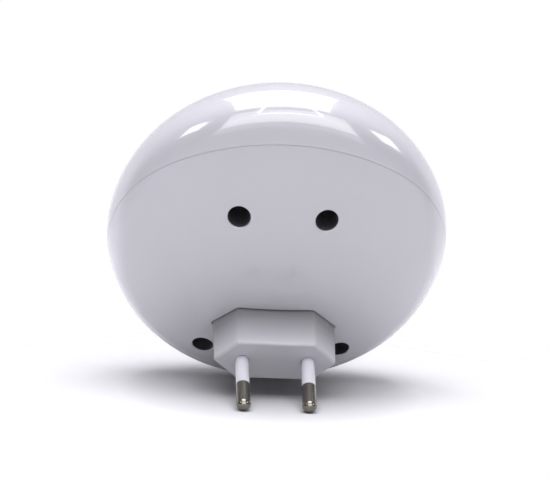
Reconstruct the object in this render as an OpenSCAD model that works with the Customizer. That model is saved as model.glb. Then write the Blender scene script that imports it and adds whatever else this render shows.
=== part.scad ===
// Plug-in ultrasonic pest repeller: a round domed case on a flat two-pin mains plug.
// The origin is the centre of the plug's end face. +Y runs along the pins into the socket,
// -Y is the side that faces the room, +Z is up and +X is to the right seen from the room.
// Millimetres.

/* [Case] */
// Outer radius of the round case
case_r = 49.7; // [48:0.1:53]
// Height of the case's centre above the plug
case_z = 20.4; // [19:0.1:22]
// Distance from the plug's end face to the widest plane of the case
equator_y = 30; // [29:0.5:31]
// How far the rear dome stands behind the widest plane
rear_depth = 17; // [16:0.1:17.5]
// Radius of the rear dome's rim
rear_rim_r = 9.7; // [8:0.1:11]
// How far the front dome stands in front of the widest plane
front_depth = 27; // [26.5:0.1:29]
// Radius of the front dome's rim
front_rim_r = 17.2; // [15:0.1:19]
// Thickness of both shells
wall = 2.2; // [1.8:0.1:2.4]
// How far the parting plane lies behind the widest plane, at the case's centre
seam_back = 3.1; // [2:0.1:4]
// Lean of the parting plane, with its top towards the wall
seam_lean = 11; // [8:0.5:13]
// Width of the gap that shows between the two shells
seam_gap = 0.3; // [0.1:0.05:0.5]

/* [Case screws] */
// Half the distance between the upper screw wells
upper_screw_x = 12; // [11:0.5:14]
// Height of the upper screw wells above the plug
upper_screw_z = 38.5; // [38:0.5:41]
// Half the distance between the lower screw wells
lower_screw_x = 20.5; // [19:0.5:22]
// Depth of the lower screw wells below the plug's middle
lower_screw_drop = 10.7; // [10:0.1:12]
// Radius of a screw well's bore
well_r = 3.15; // [3:0.05:3.4]
// Distance from the plug's end face to the floors of the screw wells
well_floor_y = 27; // [26:0.5:28]

/* [Plug] */
// Width of the plug's end face
plug_w = 35.3; // [35:0.1:35.6]
// Height of the plug's end face
plug_h = 13.5; // [13:0.1:13.8]
// How much wider and higher the plug is at the case than at its end face
plug_draft = 1.4; // [1:0.1:1.6]
// Radius of the pins
pin_r = 2; // [2:0.01:2.03]
// Length of the pins
pin_len = 19; // [18.5:0.1:19.5]
// Length of the insulating sleeves outside the plug
sleeve_len = 10; // [9:0.5:10]
// Distance between the pins at the plug's end face
pin_pitch = 18.6; // [18:0.1:19.2]
// Angle by which each pin leans towards the other
pin_lean = 1.35; // [1:0.05:1.5]

/* [Front] */
// Radius of the loudspeaker grille
grille_r = 16; // [15:0.1:16.2]
// Width of one ring slot in the grille
grille_slot = 1.6; // [1.2:0.1:1.8]
// Radius of the mode button
button_r = 4.2; // [3.8:0.1:4.4]
// Depth of the mode button below the plug's middle
button_drop = 9.6; // [9:0.1:10]
// How far the mode button stands out of the front
button_proud = 0.9; // [0.5:0.1:1.2]
// Radius of the indicator's lens
lens_r = 1.6; // [1.4:0.1:1.7]
// Depth of the indicator's lens below the plug's middle
lens_drop = 0.5; // [0.3:0.1:0.7]

/* [Inside] */
// Distance from the plug's end face to the rear face of the circuit board
board_y = 36; // [35.5:0.5:36.5]
// Thickness of the circuit board
board_t = 1.6; // [1.6:0.1:1.7]
// Half the width of the circuit board
board_half_w = 28; // [27.5:0.5:29]
// Top edge of the circuit board above the plug's middle
board_top = 33; // [32.5:0.5:33.5]
// Half the width between the board's fixing screws
board_screw_x = 24; // [24:0.5:25]

/* [Hidden] */
$fn = 96;

GLOSS_WHITE = [0.93, 0.93, 0.96];
MATT_WHITE = [0.84, 0.84, 0.87];
NICKEL = [0.72, 0.70, 0.67];
STEEL = [0.62, 0.62, 0.64];
BOARD_GREEN = [0.16, 0.42, 0.24];
BLACK = [0.08, 0.08, 0.09];
COPPER = [0.72, 0.42, 0.22];

slack = 0.15;             // gap left round a piece that sits in an opening
big = 200;                // longer than anything in the part
lip_t = 1.2;              // thickness of the rear cover's locating lip
lip_len = 2.5;            // length of that lip
post_r = 3.5;             // radius of the front shell's screw posts
thread_r = 1.5;           // radius of a case screw's hole
shank_r = 1.45;           // radius of a case screw's shank
mouth_r = 1.2;            // rounding of the plug's corners
edge = 1;                 // rounding of the plug's end face
collar_y = 20.5;          // inner end of the rear cover's plug collar
flange_t = 2;             // thickness of the plug's inner flange
ear_x = 22;               // place of the flange's screw ears
sleeve_r = 1.84;          // outer radius of an insulating sleeve
groove_r = 2.14;          // radius of the shallow ring round a sleeve in the plug's end face
groove_t = 0.4;           // depth of that ring
core_r = 1.4;             // radius of a pin inside its sleeve
fit_gap = 0.02;           // radial gap between a pin, its sleeve and the plug
sleeve_root = 4;          // length of a sleeve inside the plug
tail_y = 27;              // inner end of the pins
seat_y = 52.4;            // the speaker's seat inside the front shell
grille_t = 2;             // thickness of the grille plate
collar_end = 44.5;        // inner end of the mode button's guide
press_gap = 0.05;         // gap between pieces that press on each other
switch_h = 3.5;           // height of the key switch's case
plunger_r = 1.75;         // radius of its plunger
plunger_h = 1.3;          // height of the plunger above the case
speaker_screw_x = 19.2;   // place of the speaker's screws
case_screw_len = 12;      // length of a case screw under its head
case_hole_len = 16;       // depth of its hole in the front shell's post
board_screw_len = 5;      // length of a board screw under its head
small_hole_r = 1.1;       // radius of the hole for a small screw
small_shank_r = 1.05;     // radius of a small screw's shank
lens_seat_y = 50.4;       // the lens flange's seat inside the front shell
led_y = 47.9;             // centre of the indicator's dome
open_len = 20;            // length by which a cut runs clear of a wall
plug_straight_y = 15;     // where the plug's draft ends
board_front = board_y + board_t;

UPPER = [upper_screw_x, upper_screw_z];
LOWER = [lower_screw_x, -lower_screw_drop];
SCREW_SPOTS = [for (s = [-1, 1]) for (p = [UPPER, LOWER]) [s * p[0], p[1]]];
BOARD_SPOTS = [for (s = [-1, 1]) for (z = [-1, 29]) [s * board_screw_x, z]];

// Distance from the widest plane back to the centre of a dome's crown arc
function crown_drop(depth, rim) =
    (pow(case_r - rim, 2) - pow(depth - rim, 2)) / (2 * (depth - rim));
front_drop = crown_drop(front_depth, front_rim_r);
front_crown_r = front_depth + front_drop;

// A child drawn along +Z is laid along +Y from the point (x, -y, z)
module at(x, y, z) {
    translate([x, -y, z]) rotate([-90, 0, 0]) children();
}

// A child drawn along +Z is laid along +Y at each spot of a list of [x, z]
module at_each(spots, y) {
    for (p = spots) at(p[0], y, p[1]) children();
}

// One dome's half section: a rim arc that runs smoothly into a flatter crown arc
module dome_section(depth, rim, inset) {
    drop = crown_drop(depth, rim);
    lean = atan2(drop, case_r - rim);
    reach = depth + drop + 10;
    intersection() {
        translate([case_r - rim, 0]) circle(r = rim - inset);
        square([big, big]);
    }
    intersection() {
        translate([0, -drop]) circle(r = depth + drop - inset, $fn = 240);
        polygon([
            [0, 0], [case_r - rim, 0],
            [reach * cos(lean), reach * sin(lean) - drop], [0, reach - drop]
        ]);
    }
}

// The whole case as a solid, drawn in by inset on every side
module case_solid(inset = 0) {
    at(0, equator_y, case_z) rotate_extrude($fn = 180) {
        dome_section(rear_depth, rear_rim_r, inset);
        mirror([0, 1]) dome_section(front_depth, front_rim_r, inset);
    }
}

// The half space on the wall side of the parting plane, moved by shift towards the wall
module behind_seam(shift = 0) {
    translate([0, seam_back - equator_y, case_z])
        rotate([-seam_lean, 0, 0])
            translate([-big / 2, shift, -big / 2]) cube(big);
}

// The half space on the room side of the parting plane
module before_seam(shift = 0) {
    translate([0, seam_back - equator_y, case_z])
        rotate([-seam_lean, 0, 0])
            translate([-big / 2, shift - big, -big / 2]) cube(big);
}

// The front's outer surface as a ball, grown by proud
module front_ball(proud = 0) {
    translate([0, front_drop - equator_y, case_z])
        rotate([-90, 0, 0]) sphere(r = front_crown_r + proud, $fn = 240);
}

// The plug's six-sided outline with blunt side points
module plug_outline(w, h, grow = 0) {
    offset(r = mouth_r, $fn = 32) offset(delta = grow - mouth_r)
        polygon([
            [w / 2, 0], [(w - h) / 2, h / 2], [(h - w) / 2, h / 2],
            [-w / 2, 0], [(h - w) / 2, -h / 2], [(w - h) / 2, -h / 2]
        ]);
}

// ---------------------------------------------------------------- shells

module front_shell() color(GLOSS_WHITE) {
    difference() {
        union() {
            intersection() {
                difference() {
                    case_solid();
                    case_solid(wall);
                }
                before_seam(-seam_gap / 2);
            }
            intersection() {
                case_solid(wall / 2);
                front_posts();
            }
        }
        // Screw holes of the posts
        at_each(SCREW_SPOTS, well_floor_y + case_hole_len) cylinder(r = thread_r, h = open_len);
        at_each(BOARD_SPOTS, board_front + board_screw_len + 1)
            cylinder(r = small_hole_r, h = open_len);
        for (s = [-1, 1]) at(s * speaker_screw_x, seat_y + 1, case_z)
            cylinder(r = small_hole_r, h = open_len);
        // Sound opening, with a step that the grille rests on
        at(0, big, case_z) cylinder(r = grille_r - 2.5, h = big);
        difference() {
            at(0, big, case_z) cylinder(r = grille_r + slack, h = big - equator_y);
            front_ball(-grille_t / 2);
        }
        // Button and lens openings
        at(0, big, -button_drop) cylinder(r = button_r + slack, h = big - equator_y);
        at(0, big, -lens_drop) cylinder(r = lens_r + slack / 2, h = big - equator_y);
        at(0, lens_seat_y, -lens_drop) cylinder(r = lens_r + 1, h = open_len);
    }
}

// Posts and rings that stand on the inside of the front
module front_posts() {
    at_each(SCREW_SPOTS, equator_y + front_depth)
        cylinder(r = post_r, h = equator_y + front_depth - well_floor_y - wall);
    at_each(BOARD_SPOTS, equator_y + front_depth)
        cylinder(r = 3, h = equator_y + front_depth - board_front - press_gap);
    for (s = [-1, 1])
        at(s * speaker_screw_x, equator_y + front_depth, case_z)
            cylinder(r = 2.6, h = equator_y + front_depth - seat_y + 1);
    at(0, equator_y + front_depth, case_z)
        cylinder(r = grille_r + 0.8, h = equator_y + front_depth - seat_y);
    at(0, equator_y + front_depth, -button_drop)
        cylinder(r = button_r + 2.2, h = equator_y + front_depth - collar_end);
}

module rear_cover() color(GLOSS_WHITE) {
    difference() {
        union() {
            intersection() {
                difference() {
                    case_solid();
                    case_solid(wall);
                }
                behind_seam(seam_gap / 2);
            }
            // Locating lip inside the front shell
            intersection() {
                difference() {
                    case_solid(wall + slack);
                    case_solid(wall + lip_t);
                }
                behind_seam(-lip_len);
                before_seam(lip_len);
            }
            intersection() {
                difference() {
                    case_solid(wall / 2);
                    case_solid(wall + lip_t);
                }
                behind_seam(seam_gap / 2);
                before_seam(lip_len);
            }
            intersection() {
                case_solid(wall / 4);
                rear_posts();
            }
        }
        at_each(SCREW_SPOTS, well_floor_y) cylinder(r = well_r, h = open_len);
        at_each(SCREW_SPOTS, well_floor_y + post_r) cylinder(r = thread_r + 0.2, h = open_len);
        at(0, tail_y, 0) linear_extrude(height = open_len) plug_outline(
            plug_w + plug_draft, plug_h + plug_draft, slack);
        for (s = [-1, 1]) at(s * ear_x, collar_y + 1, 0) cylinder(r = small_hole_r, h = 4);
    }
}

// Wells, collar and bosses on the inside of the rear cover
module rear_posts() {
    at_each(SCREW_SPOTS, well_floor_y + 1.5) cylinder(r = well_r + 1.4, h = open_len);
    at(0, collar_y, 0) linear_extrude(height = 10) plug_outline(
        plug_w + plug_draft, plug_h + plug_draft, 1.8);
    for (s = [-1, 1]) at(s * ear_x, collar_y, 0) cylinder(r = 2.8, h = 10);
}

// ---------------------------------------------------------------- fasteners

// A pan-head screw with a cross recess, its head's seat at zero and its shank along -Z
module screw(shank, length, head, head_h) {
    difference() {
        union() {
            translate([0, 0, -length]) cylinder(r = shank, h = length + 0.1);
            translate([0, 0, -length - shank]) cylinder(r1 = 0.3, r2 = shank, h = shank, $fn = 48);
            intersection() {
                cylinder(r = head, h = head_h);
                translate([0, 0, head_h - 2 * head]) sphere(r = 2 * head);
            }
        }
        for (a = [0, 90])
            rotate([0, 0, a + 20])
                translate([-head * 0.55, -head * 0.11, head_h * 0.45])
                    cube([head * 1.1, head * 0.22, head_h]);
    }
}

module case_screws() color(STEEL) {
    at_each(SCREW_SPOTS, well_floor_y) screw(shank_r, case_screw_len, 2.7, 2.1);
}

module plug_screws() color(STEEL) {
    for (s = [-1, 1])
        translate([s * ear_x, -collar_y - flange_t, 0])
            rotate([90, 0, 0]) screw(small_shank_r, 2.4, 2, 1.4);
}

module speaker_screws() color(STEEL) {
    for (s = [-1, 1]) at(s * speaker_screw_x, seat_y - 2.5, case_z)
        screw(small_shank_r, 2.2, 2, 1.4);
}

module board_screws() color(STEEL) {
    at_each(BOARD_SPOTS, board_y) screw(small_shank_r, board_screw_len, 2.2, 1.5);
}

// ---------------------------------------------------------------- plug

// Lays a child along a pin's own leaning axis, with its zero at the plug's end face
module on_pin(side) {
    translate([side * pin_pitch / 2, 0, 0])
        rotate([0, 0, side * pin_lean]) rotate([-90, 0, 0]) children();
}

// A thin slice of the plug's outline, y in front of its end face
module section(y, w, h, grow = 0) {
    at(0, y, 0) linear_extrude(height = 0.01) plug_outline(w, h, grow);
}

module plug_body() color(MATT_WHITE) {
    base_w = plug_w + plug_draft;
    base_h = plug_h + plug_draft;
    difference() {
        union() {
            hull() {
                section(0.01, plug_w, plug_h, -edge);
                section(edge * 0.3, plug_w, plug_h, -edge * 0.3);
                section(edge, plug_w, plug_h);
                section(plug_straight_y, base_w, base_h);
                section(collar_y + flange_t / 2, base_w, base_h);
            }
            at(0, collar_y + flange_t, 0) linear_extrude(height = flange_t)
                plug_outline(base_w, base_h, 1.8);
            for (s = [-1, 1]) {
                at(s * ear_x, collar_y + flange_t, 0) cylinder(r = 3.2, h = flange_t);
                at(s * (ear_x - 3), collar_y + flange_t, 0)
                    translate([-3, -2.7, 0]) cube([6, 5.4, flange_t]);
            }
        }
        for (s = [-1, 1]) {
            on_pin(s) translate([0, 0, -sleeve_root]) cylinder(r = sleeve_r + fit_gap, h = 10);
            on_pin(s) translate([0, 0, -groove_t]) cylinder(r = groove_r, h = 2 * groove_t);
            on_pin(s) translate([0, 0, -tail_y]) cylinder(r = core_r + fit_gap, h = tail_y);
            at(s * ear_x, tail_y, 0) cylinder(r = 1.2, h = 10);
        }
    }
}

module pin(side) color(NICKEL) {
    on_pin(side) {
        translate([0, 0, -tail_y]) cylinder(r = core_r, h = tail_y + sleeve_len + 0.1);
        translate([0, 0, sleeve_len]) cylinder(r = pin_r, h = pin_len - pin_r - sleeve_len);
        translate([0, 0, pin_len - pin_r]) sphere(r = pin_r);
    }
}

module pin_left() {
    pin(-1);
}

module pin_right() {
    pin(1);
}

module pin_sleeve(side) color(GLOSS_WHITE) {
    on_pin(side) translate([0, 0, -sleeve_root]) difference() {
        cylinder(r = sleeve_r, h = sleeve_root + sleeve_len);
        translate([0, 0, -1]) cylinder(r = core_r + fit_gap, h = 20);
    }
}

module pin_sleeve_left() {
    pin_sleeve(-1);
}

module pin_sleeve_right() {
    pin_sleeve(1);
}

// ---------------------------------------------------------------- front pieces

module front_grille() color(MATT_WHITE) {
    spoke = 2.4;
    difference() {
        intersection() {
            difference() {
                front_ball(-slack);
                front_ball(press_gap - grille_t / 2);
            }
            at(0, equator_y + front_depth, case_z) cylinder(r = grille_r, h = 10);
        }
        at(0, equator_y + front_depth + 1, case_z) linear_extrude(height = 10) difference() {
            union() {
                circle(r = grille_slot);
                for (k = [1:3]) difference() {
                    circle(r = 3.4 * k + grille_slot);
                    circle(r = 3.4 * k);
                }
            }
            for (a = [45, 135]) rotate(a) square([2 * grille_r, spoke], center = true);
        }
    }
}

module indicator_lens() color([0.75, 0.85, 1.0]) {
    intersection() {
        union() {
            at(0, big / 2, -lens_drop) cylinder(r = lens_r, h = big / 2 - lens_seat_y + 0.8);
            at(0, lens_seat_y - 0.1, -lens_drop) cylinder(r = lens_r + 0.9, h = 0.7);
        }
        front_ball(0.2);
    }
}

module mode_button() color(MATT_WHITE) {
    stop_y = collar_end - press_gap;
    tip_y = board_front + switch_h + plunger_h + press_gap;
    intersection() {
        union() {
            at(0, big / 2, -button_drop) cylinder(r = button_r, h = big / 2 - stop_y + 0.1);
            at(0, stop_y, -button_drop) cylinder(r = button_r + 1.4, h = 1.2);
            at(0, stop_y - 1, -button_drop) cylinder(r = 1.6, h = stop_y - 1 - tip_y);
        }
        front_ball(button_proud);
    }
}

// ---------------------------------------------------------------- loudspeaker

module speaker_gasket() color(BLACK) {
    at(0, seat_y, case_z) difference() {
        cylinder(r = grille_r, h = 1);
        translate([0, 0, -1]) cylinder(r = grille_r - 2.5, h = 4);
    }
}

module speaker_frame() color(BLACK) {
    difference() {
        union() {
            at(0, seat_y - 1, case_z) rotate_extrude() polygon([
                [13.4, 0], [16, 0], [16, 1.5], [14.8, 1.5], [8.6, 7], [8.6, 8.6],
                [6.4, 8.6], [6.4, 6], [12.8, 1.2]
            ]);
            for (s = [-1, 1]) at(s * speaker_screw_x, seat_y - 1, case_z)
                cylinder(r = 2.6, h = 1.5);
            at(0, seat_y - 1, case_z) difference() {
                translate([-speaker_screw_x, -2.2, 0]) cube([2 * speaker_screw_x, 4.4, 1.5]);
                translate([0, 0, -1]) cylinder(r = 15, h = 4);
            }
        }
        for (s = [-1, 1]) at(s * speaker_screw_x, seat_y, case_z) cylinder(r = 1.2, h = 4);
        // Sound slots in the side of the basket
        for (a = [0:60:300])
            at(0, seat_y - 3.4, case_z) rotate([0, 0, a + 30])
                translate([6.8, -1.6, 0]) cube([8, 3.2, 2.6]);
    }
}

module speaker_cone() color([0.75, 0.76, 0.78]) {
    at(0, seat_y - 1, case_z) rotate_extrude() polygon([
        [4.4, 5.2], [12.4, 0.3], [13, 0.3], [13, 0.6], [12.5, 0.6], [4.5, 5.5],
        [0, 5.5], [0, 5.2]
    ]);
}

module piezo_disc() color([0.80, 0.68, 0.36]) {
    at(0, seat_y - 6.5, case_z) {
        cylinder(r = 6.2, h = 0.4);
        translate([0, 0, 0.4]) cylinder(r = 4.6, h = 0.3);
    }
}

// ---------------------------------------------------------------- electronics

function unit(v) = v / norm(v);

// A round wire swept along a list of points that runs mostly along Y
module wire(points, r, sides = 10) {
    last = len(points) - 1;
    rings = [
        for (i = [0:last])
            let (along = unit(points[min(i + 1, last)] - points[max(i - 1, 0)]))
            let (across = unit(cross(along, [1, 0, 0])))
            let (other = cross(along, across))
            for (k = [0:sides - 1])
                points[i] + r * (cos(360 * k / sides) * across + sin(360 * k / sides) * other)
    ];
    walls = [
        for (i = [0:last - 1]) for (k = [0:sides - 1])
            let (a = i * sides + k)
            let (b = i * sides + (k + 1) % sides)
            each [[a, a + sides, b], [b, a + sides, b + sides]]
    ];
    caps = [[for (k = [0:sides - 1]) k], [for (k = [sides - 1:-1:0]) last * sides + k]];
    polyhedron(rings, concat(walls, caps));
}

module lead(side) {
    wire([
        [side * 9.94, -tail_y - press_gap, 0], [side * 9.94, -28, 0],
        [side * 10.1, -29.6, -0.2], [side * 10.6, -31.2, -0.9], [side * 11.4, -32.8, -1.7],
        [side * 12, -34.4, -2.2], [side * 12.2, -35.3, -2.4], [side * 12.2, -board_y, -2.4]
    ], 0.7);
}

module live_lead() color([0.45, 0.25, 0.15]) {
    lead(-1);
}

module neutral_lead() color([0.15, 0.30, 0.65]) {
    lead(1);
}

module speaker_leads() color([0.75, 0.10, 0.10]) {
    for (s = [-1, 1]) wire([
        [s * 5.4, -45.2, case_z + 1.2], [s * 5.4, -44.4, case_z + 1.2],
        [s * 5.4, -43.2, case_z + 1.8], [s * 5.2, -42.0, case_z + 3.4],
        [s * 4.8, -40.8, case_z + 5.6], [s * 4.4, -39.6, case_z + 7.6],
        [s * 4.2, -38.4, case_z + 8.6], [s * 4.2, -board_front, case_z + 8.6]
    ], 0.45);
}

module circuit_board() color(BOARD_GREEN) {
    difference() {
        union() {
            translate([-board_half_w, -board_front, -5])
                cube([2 * board_half_w, board_t, board_top + 5]);
            translate([-12, -board_front, -14]) cube([24, board_t, 12]);
        }
        at_each(BOARD_SPOTS, board_front + 1) cylinder(r = 1.2, h = 5);
    }
}

module switch_case() color(BLACK) {
    difference() {
        translate([-3, -board_front - switch_h, -button_drop - 3]) cube([6, switch_h, 6]);
        at(0, board_front + switch_h + 1, -button_drop) cylinder(r = plunger_r + 0.1, h = 2.4);
    }
}

module switch_plunger() color([0.85, 0.82, 0.75]) {
    at(0, board_front + switch_h + plunger_h, -button_drop)
        cylinder(r = plunger_r, h = plunger_h + 0.9);
}

module indicator_led() color([0.85, 0.90, 1.0]) {
    at(0, led_y, -lens_drop) {
        sphere(r = 1.5);
        cylinder(r = 1.5, h = 3.4);
        translate([0, 0, 3.4]) cylinder(r = 1.9, h = 0.8);
        for (s = [-1.27, 1.27]) translate([s, 0, 4]) cylinder(r = 0.25, h = led_y - 4 - board_front);
    }
}

// A box that stands on the rear of the board, centred on (x, z)
module on_board(x, z, w, h, tall) {
    translate([x - w / 2, -board_y, z - h / 2]) cube([w, tall, h]);
}

module film_capacitor() color([0.80, 0.65, 0.15]) {
    on_board(-16.5, 22, 17.5, 7.5, 11);
}

module smoothing_capacitor() color([0.12, 0.14, 0.22]) {
    at(17, board_y, 22.5) {
        cylinder(r = 5, h = 12);
        translate([0, 0, 12]) cylinder(r = 4.2, h = 0.3);
    }
}

module varistor() color([0.15, 0.30, 0.60]) {
    translate([-24, 5 - board_y, 9.5]) rotate([0, 90, 0]) cylinder(r = 4.5, h = 4);
    for (s = [-2.5, 2.5]) at(-22, board_y, 9.5 + s) cylinder(r = 0.35, h = 2);
}

module fusible_resistor() color([0.45, 0.62, 0.52]) {
    axial(-12, 12, 4.2, 11);
}

// An axial part that lies on the rear of the board along X
module axial(x, z, d, length) {
    lift = 0.4 + d / 2;
    translate([x - length / 2, lift - board_y, z]) rotate([0, 90, 0]) cylinder(d = d, h = length);
    for (s = [-1, 1]) {
        reach = length / 2 + 1.6;
        at(x + s * reach, board_y, z) cylinder(r = 0.35, h = lift);
        translate([x + min(s * reach, s * length / 2), lift - board_y, z])
            rotate([0, 90, 0]) cylinder(r = 0.35, h = 1.6);
        translate([x + s * reach, lift - board_y, z]) sphere(r = 0.35, $fn = 24);
    }
}

module bridge_rectifier() color(BLACK) {
    on_board(1.5, 12, 8.4, 6.4, 2.8);
    for (s = [-1, 1]) for (x = [-2.6, 2.6]) on_board(1.5 + x, 12 + s * 4, 1.2, 1.7, 0.5);
}

module controller_chip() color(BLACK) {
    translate([0, 0.6, 0]) on_board(1.5, 25.5, 9.6, 6.2, 3.2);
    for (s = [-1, 1]) for (k = [0:3])
        on_board(1.5 + (k - 1.5) * 2.54, 25.5 + s * 3.45, 1.1, 0.7, 2.2);
}

module inductor_core() color([0.22, 0.22, 0.24]) {
    at(20.5, board_y, 9.5) {
        cylinder(r = 4, h = 1.4);
        cylinder(r = 2, h = 9);
        translate([0, 0, 7.6]) cylinder(r = 4, h = 1.4);
    }
}

module inductor_winding() color(COPPER) {
    at(20.5, board_y - 1.4, 9.5) difference() {
        cylinder(r = 3.5, h = 6.2);
        translate([0, 0, -1]) cylinder(r = 2, h = 9);
    }
}

module driver_transistors() color(BLACK) {
    for (x = [9.6, 14.2]) difference() {
        at(x, board_y, 3.6) cylinder(r = 2.2, h = 4.6);
        translate([x - 3, -board_y - 1, 5]) cube([6, 8, 3]);
    }
}

module axial_resistors() color([0.78, 0.66, 0.48]) {
    for (p = [[-16, 4.2], [-16, 29], [0, 4.4], [0, 18.5]]) axial(p[0], p[1], 2.2, 6);
}

// ---------------------------------------------------------------- nodes

front_shell();
rear_cover();
case_screws();
plug_body();
plug_screws();
pin_left();
pin_right();
pin_sleeve_left();
pin_sleeve_right();
front_grille();
indicator_lens();
mode_button();
speaker_gasket();
speaker_frame();
speaker_cone();
piezo_disc();
speaker_screws();
speaker_leads();
circuit_board();
board_screws();
switch_case();
switch_plunger();
indicator_led();
film_capacitor();
smoothing_capacitor();
varistor();
fusible_resistor();
bridge_rectifier();
controller_chip();
inductor_core();
inductor_winding();
driver_transistors();
axial_resistors();
live_lead();
neutral_lead();
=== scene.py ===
"""Looks of the plug-in ultrasonic pest repeller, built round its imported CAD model.

The row frame is the plugged-in one: +Y runs along the pins to the wall, +Z is up, and the front
faces -Y. The repeller lies on a table the way it does when it is put down: on its pins' tips and
the lower edge of its case. So the stage's floor leans in the row frame, and the camera looks at
the rear cover from above the plug. Lengths below are in millimetres until a mesh is made.
"""

import math

import bmesh
import bpy
from mathutils import Matrix, Vector


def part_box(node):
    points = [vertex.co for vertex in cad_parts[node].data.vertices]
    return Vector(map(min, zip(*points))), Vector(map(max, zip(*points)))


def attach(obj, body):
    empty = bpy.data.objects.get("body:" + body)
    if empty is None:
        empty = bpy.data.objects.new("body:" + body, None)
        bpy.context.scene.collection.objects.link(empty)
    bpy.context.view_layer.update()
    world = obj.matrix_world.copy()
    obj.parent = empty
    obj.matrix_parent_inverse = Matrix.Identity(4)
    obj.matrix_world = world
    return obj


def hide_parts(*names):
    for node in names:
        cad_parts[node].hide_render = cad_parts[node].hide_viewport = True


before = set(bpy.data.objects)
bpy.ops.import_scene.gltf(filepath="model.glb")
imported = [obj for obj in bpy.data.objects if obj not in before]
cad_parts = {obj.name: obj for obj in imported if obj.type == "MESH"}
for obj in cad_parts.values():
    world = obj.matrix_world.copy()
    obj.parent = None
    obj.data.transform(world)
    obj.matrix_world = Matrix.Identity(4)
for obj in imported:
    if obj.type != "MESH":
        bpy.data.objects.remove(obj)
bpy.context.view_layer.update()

MM = 0.001


# ------------------------------------------------------------------ sizes from the frame

def corners(node):
    """A node's lowest and highest corner in millimetres."""
    low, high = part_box(node)
    return [c / MM for c in low], [c / MM for c in high]


front_low, front_high = corners("front_shell")
grille_low = corners("front_grille")[0]
rear_high = corners("rear_cover")[1]
board_low = corners("circuit_board")[0]
button_high = corners("mode_button")[1]

CASE_R = front_high[0]                       # outer radius of the round case
CASE_Z = front_high[2] - CASE_R              # height of its centre above the plug
EQUATOR_Y = -30.0                            # its widest plane
GRILLE_SUNK = 0.15                           # how far the grille lies under the front dome
FRONT_DEPTH = EQUATOR_Y - grille_low[1] + GRILLE_SUNK
REAR_DEPTH = rear_high[1] - EQUATOR_Y
FRONT_RIM = 17.2
REAR_RIM = 9.7
WALL = 2.2
SEAM_BACK = 3.1
SEAM_LEAN = math.radians(11)
SEAM_GAP = 0.1
SEAM_SOFT = 0.12                             # rounding of the shells' outer edges at the seam
APEX_RINGS, BACK_RINGS = 70, 41
LIP_GAP, LIP_IN, LIP_LEN = 0.15, 1.2, 2.5

WELL_R = 3.15
WELL_FLOOR = -27.0
WELLS = [(s * x, z) for s in (-1, 1) for x, z in ((12.0, 38.5), (20.5, -10.7))]
BOARD_SPOTS = [(s * 24.0, z) for s in (-1, 1) for z in (-1.0, 29.0)]
EAR_X = 22.0
SPEAKER_X = 19.2
COLLAR_Y = -20.5

PLUG_W, PLUG_H, PLUG_DRAFT = 35.3, 13.5, 1.4
PIN_PITCH, PIN_LEAN = 18.6, math.radians(1.35)
PIN_R, PIN_LEN = 2.0, 19.0
SLEEVE_R, SLEEVE_LEN, SLEEVE_ROOT = 1.9, 10.0, 4.0
CORE_R, TAIL_Y = 1.4, 27.0
TIP_R = 1.75                                 # rounding of the pins' tips
BORE_GAP = 0.02

GRILLE_R, GRILLE_SLOT, SLOT_PITCH, SPOKE = 16.0, 1.6, 3.4, 1.2
ROUND = 128                                  # points round the grille's circles
BUTTON_R, BUTTON_Z, BUTTON_PROUD = 4.2, -9.6, 0.9
LENS_R, LENS_Z = 1.6, -0.5
FLANGE_FRONT, FLANGE_BACK = -50.3, -49.6     # the lens's flange inside the shell
SEAT_Y = -52.4
COLLAR_END = -44.5


class Dome:
    """One half of the case's profile: a crown arc round the axis that runs into a rim arc."""

    def __init__(self, depth, rim, side):
        self.depth, self.rim, self.side = depth, rim, side
        reach = CASE_R - rim
        self.drop = (reach ** 2 - (depth - rim) ** 2) / (2 * (depth - rim))
        self.crown = depth + self.drop
        self.turn = math.atan2(reach, self.drop)      # angle from the axis where the arcs meet

    def at_angle(self, angle, inset=0.0):
        """(radius, y) where the surface's normal leans angle away from the axis."""
        if angle <= self.turn:
            size = self.crown - inset
            r, h = size * math.sin(angle), size * math.cos(angle) - self.drop
        else:
            size = self.rim - inset
            r = CASE_R - self.rim + size * math.sin(angle)
            h = size * math.cos(angle)
        return r, EQUATOR_Y + self.side * h

    def y_at(self, r, inset=0.0):
        """y of the crown at a distance r from the axis."""
        return EQUATOR_Y + self.side * (math.sqrt((self.crown - inset) ** 2 - r * r) - self.drop)


FRONT = Dome(FRONT_DEPTH, FRONT_RIM, -1)
REAR = Dome(REAR_DEPTH, REAR_RIM, 1)


def surface(dome, x, z, inset=0.0):
    """y of a dome's crown above the point (x, z)."""
    return dome.y_at(math.hypot(x, z - CASE_Z), inset)


def profile(dome, angle, inset):
    """The profile past the widest plane too: angles over 90 degrees run on over the other dome."""
    if angle <= math.pi / 2:
        return dome.at_angle(angle, inset)
    other = REAR if dome is FRONT else FRONT
    return other.at_angle(math.pi - angle, inset)


def seam_height(x, y, z):
    """Distance of a point behind the parting plane."""
    return ((y - EQUATOR_Y - SEAM_BACK) * math.cos(SEAM_LEAN)
            - (z - CASE_Z) * math.sin(SEAM_LEAN))


def case_point(dome, angle, turn, inset):
    """The point of a dome at a normal angle and at a turn round the axis."""
    r, y = profile(dome, angle, inset)
    return Vector((r * math.cos(turn), y, CASE_Z + r * math.sin(turn)))


def seam_angle(dome, turn, inset, shift):
    """The normal angle at which a dome's profile meets the parting plane moved by shift."""
    low, high = 0.2, math.pi * 0.97
    for _ in range(40):
        middle = (low + high) / 2
        height = seam_height(*case_point(dome, middle, turn, inset)) - shift
        if height * dome.side > 0:
            low = middle
        else:
            high = middle
    return (low + high) / 2


# ------------------------------------------------------------------ mesh helpers

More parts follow.
